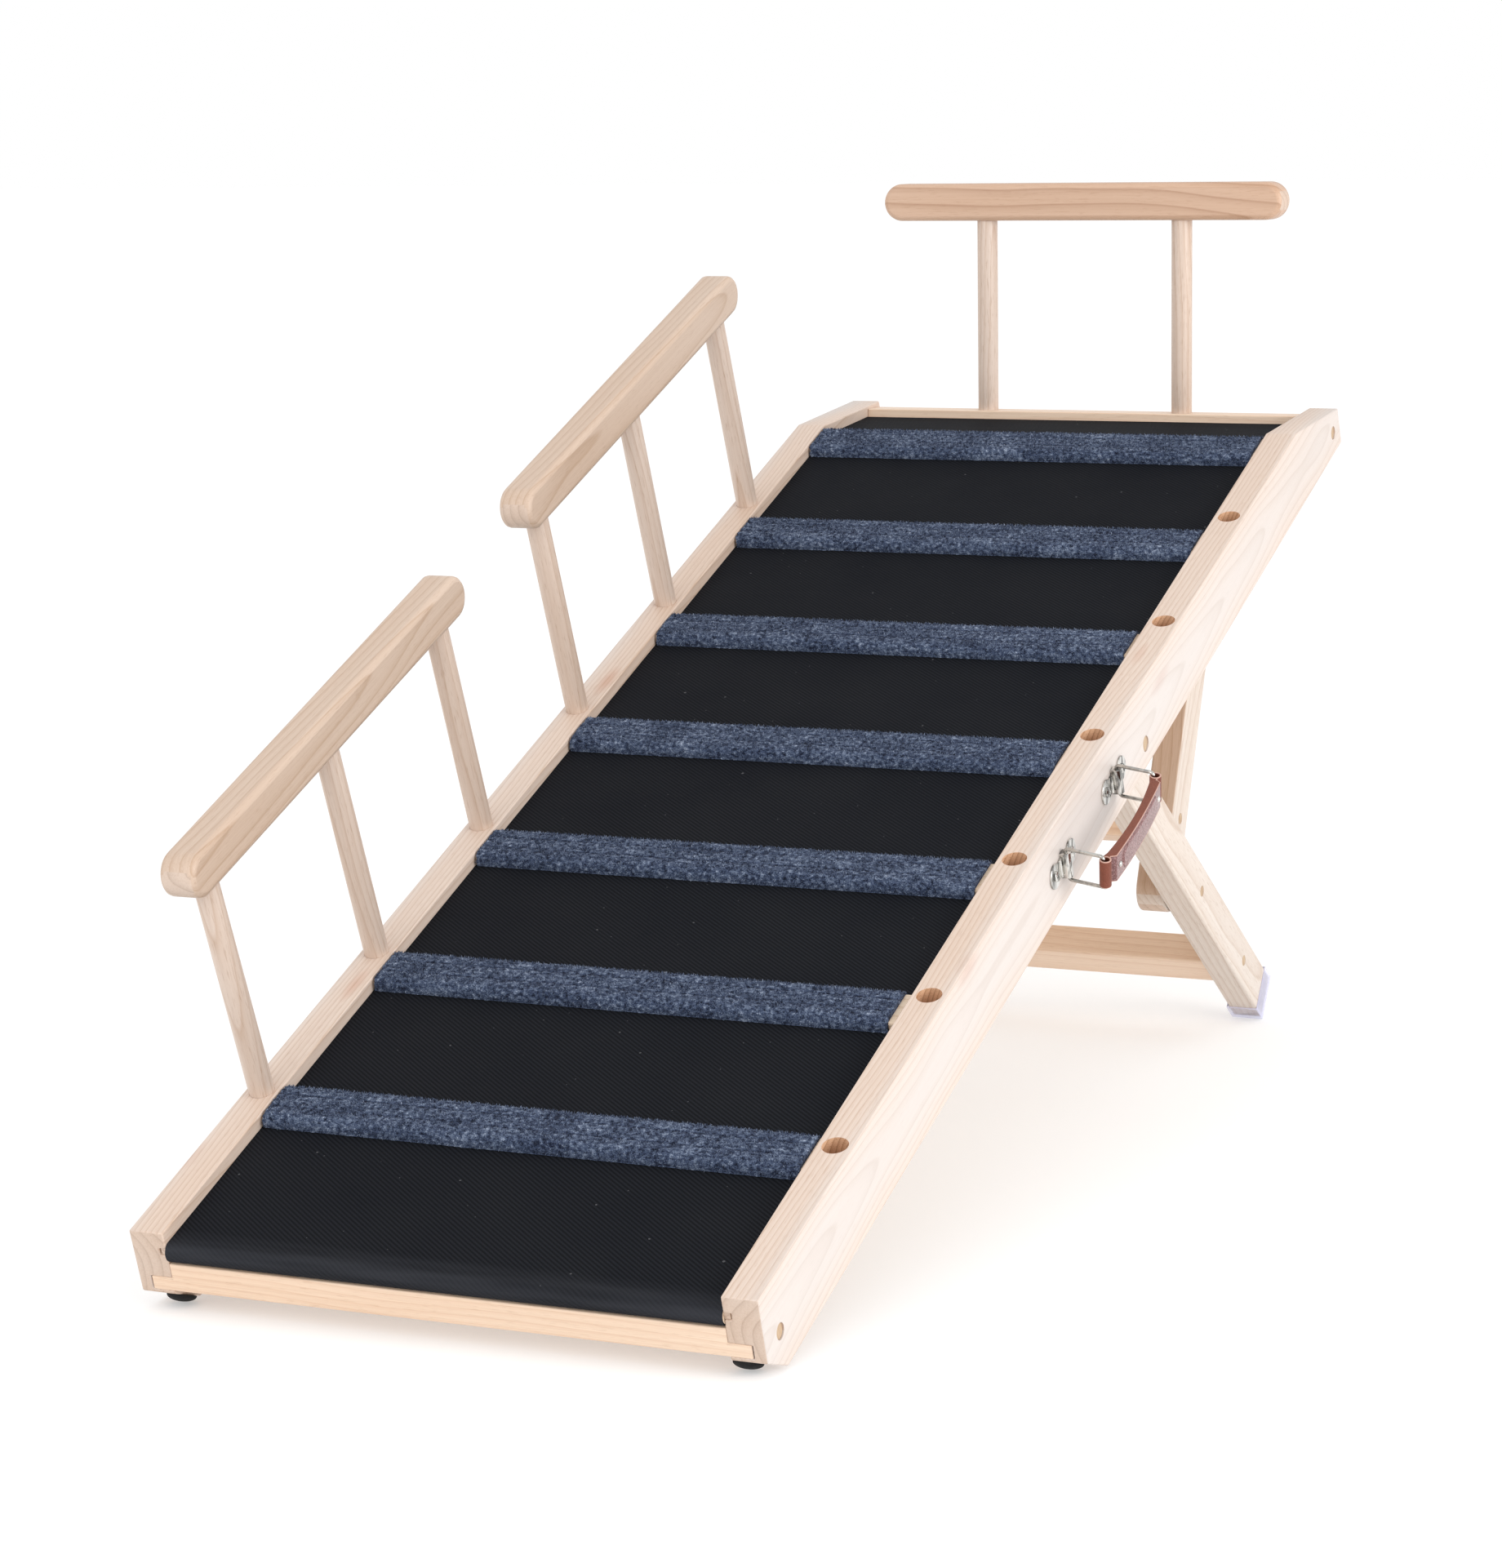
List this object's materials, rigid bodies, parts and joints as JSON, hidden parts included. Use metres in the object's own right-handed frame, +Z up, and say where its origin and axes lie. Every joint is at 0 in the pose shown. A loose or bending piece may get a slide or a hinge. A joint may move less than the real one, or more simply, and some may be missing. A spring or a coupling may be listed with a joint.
{
  "type": "dog ramp",
  "caption": "Folding wooden pet ramp with carpeted treads, lift-out guard rails, a folding leg with a notched brace, and a swinging strap handle.",
  "frame": {"origin": "on the floor, under the middle of the standing ramp's bounding box", "axes": "+Z up, +Y horizontally from the foot of the ramp towards its landing, +X across it to the side with the handle"},
  "size_m": [0.4173, 1.0486, 0.5942],
  "materials": {
    "pine": "clear satin lacquer",
    "plug_wood": "clear satin lacquer",
    "board": "raw",
    "deck_fabric": "fine diagonal weave, non-slip",
    "carpet": "short ribbed pile",
    "steel": "zinc plated",
    "nickel": "nickel plated",
    "rubber": "moulded",
    "clear_pvc": "clear soft vinyl",
    "strap": "stitched, satin"
  },
  "bodies": {
    "ramp": {"left_rail": "pine", "right_rail": "pine", "front_crossbar": "pine", "top_crossbar": "pine", "deck_panel": "board", "landing_panel": "board", "deck_cover": "deck_fabric", "tread_batten_1": "board", "tread_batten_2": "board", "tread_batten_3": "board", "tread_batten_4": "board", "tread_batten_5": "board", "tread_batten_6": "board", "tread_batten_7": "board", "tread_carpet_1": "carpet", "tread_carpet_2": "carpet", "tread_carpet_3": "carpet", "tread_carpet_4": "carpet", "tread_carpet_5": "carpet", "tread_carpet_6": "carpet", "tread_carpet_7": "carpet", "left_rack": "board", "right_rack": "board", "rack_screws": "steel", "rail_plugs": "plug_wood", "rail_screws": "steel", "rubber_feet": "rubber", "leg_pivot_bolts": "steel", "leg_pivot_nuts": "steel", "leg_pivot_washers": "steel", "handle_plate_lower": "nickel", "handle_plate_upper": "nickel", "handle_screws": "nickel"},
    "leg_frame": {"leg_left": "pine", "leg_right": "pine", "leg_crossbar": "pine", "foot_cap_left": "clear_pvc", "foot_cap_right": "clear_pvc", "leg_plugs": "plug_wood", "leg_screws": "steel", "brace_pivot_bolts": "steel", "brace_pivot_nuts": "steel", "brace_pivot_washers": "steel"},
    "brace": {"brace_left": "pine", "brace_right": "pine", "brace_crossbar": "pine", "brace_rod": "pine", "brace_plugs": "plug_wood", "brace_screws": "steel"},
    "guard_lower": {"guard_lower_handrail": "pine", "guard_lower_dowels": "pine"},
    "guard_upper": {"guard_upper_handrail": "pine", "guard_upper_dowels": "pine"},
    "guard_top": {"guard_top_handrail": "pine", "guard_top_dowels": "pine"},
    "handle_loop_lower": {"handle_loop_lower": "nickel"},
    "handle_loop_upper": {"handle_loop_upper": "nickel"},
    "handle_grip": {"handle_grip": "strap", "grip_rivets": "nickel"}
  },
  "joints": [
    {"name": "leg_fold", "type": "hinge", "parent": "ramp", "child": "leg_frame", "pos_m": [-0.01842, 0.08782, 0.24818], "axis": [1, 0, 0], "range_deg": [-123, 0]},
    {"name": "brace_fold", "type": "hinge", "parent": "leg_frame", "child": "brace", "pos_m": [-0.01842, 0.272, 0.11825], "axis": [1, 0, 0], "range_deg": [0, 77]},
    {"name": "guard_lower_lift", "type": "slide", "parent": "ramp", "child": "guard_lower", "axis": [0, -0.3714, 0.9285], "range_m": [0, 0.032]},
    {"name": "guard_upper_lift", "type": "slide", "parent": "ramp", "child": "guard_upper", "axis": [0, -0.3714, 0.9285], "range_m": [0, 0.032]},
    {"name": "guard_top_lift", "type": "slide", "parent": "ramp", "child": "guard_top", "axis": [0, 0, 1], "range_m": [0, 0.018]},
    {"name": "handle_swing", "type": "hinge", "parent": "ramp", "child": "handle_loop_lower", "pos_m": [0.17498, -0.06843, 0.19721], "axis": [0, -0.3714, 0.9285], "range_deg": [-58, 86]},
    {"name": "grip_swing", "type": "hinge", "parent": "handle_loop_lower", "child": "handle_grip", "pos_m": [0.20167, -0.07461, 0.19473], "axis": [0, -0.3714, 0.9285], "range_deg": [-86, 58]},
    {"name": "upper_loop_swing", "type": "hinge", "parent": "ramp", "child": "handle_loop_upper", "pos_m": [0.17498, 0.02442, 0.23434], "axis": [0, -0.3714, 0.9285], "range_deg": [-58, 86]}
  ],
  "couplings": [
    {"joint": "brace_fold", "follows": "leg_fold", "ratio": -0.626},
    {"joint": "grip_swing", "follows": "handle_swing", "ratio": -1},
    {"joint": "upper_loop_swing", "follows": "handle_swing", "ratio": 1}
  ]
}
